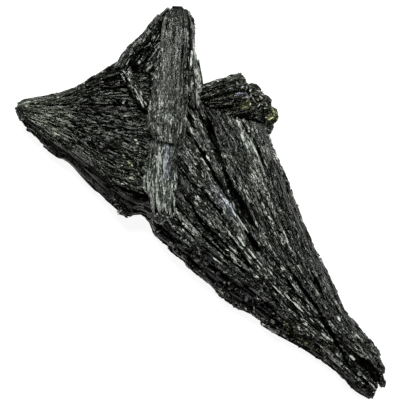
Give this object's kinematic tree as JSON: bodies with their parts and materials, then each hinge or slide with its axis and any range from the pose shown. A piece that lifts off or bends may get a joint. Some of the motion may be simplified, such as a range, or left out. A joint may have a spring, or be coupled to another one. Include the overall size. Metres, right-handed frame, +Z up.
{
  "type": "black kyanite",
  "caption": "Fan-shaped cluster of dark, striated kyanite blades with a splintered tip and stubby columns, lying on its broad side.",
  "frame": {"origin": "under the middle of the cluster's outline, on the surface it rests on", "axes": "+Z up, away from the surface; +Y towards the free end of the upright blade; +X to the right, towards the splintered tip"},
  "size_m": [0.0752, 0.079, 0.0171],
  "materials": {
    "black_kyanite": "near-black, faintly green-grey silicate with fibrous striations, a satin to graphite sheen along the blades and small yellow-green crusts"
  },
  "bodies": {
    "root": {"black_kyanite": "black_kyanite"}
  },
  "joints": []
}
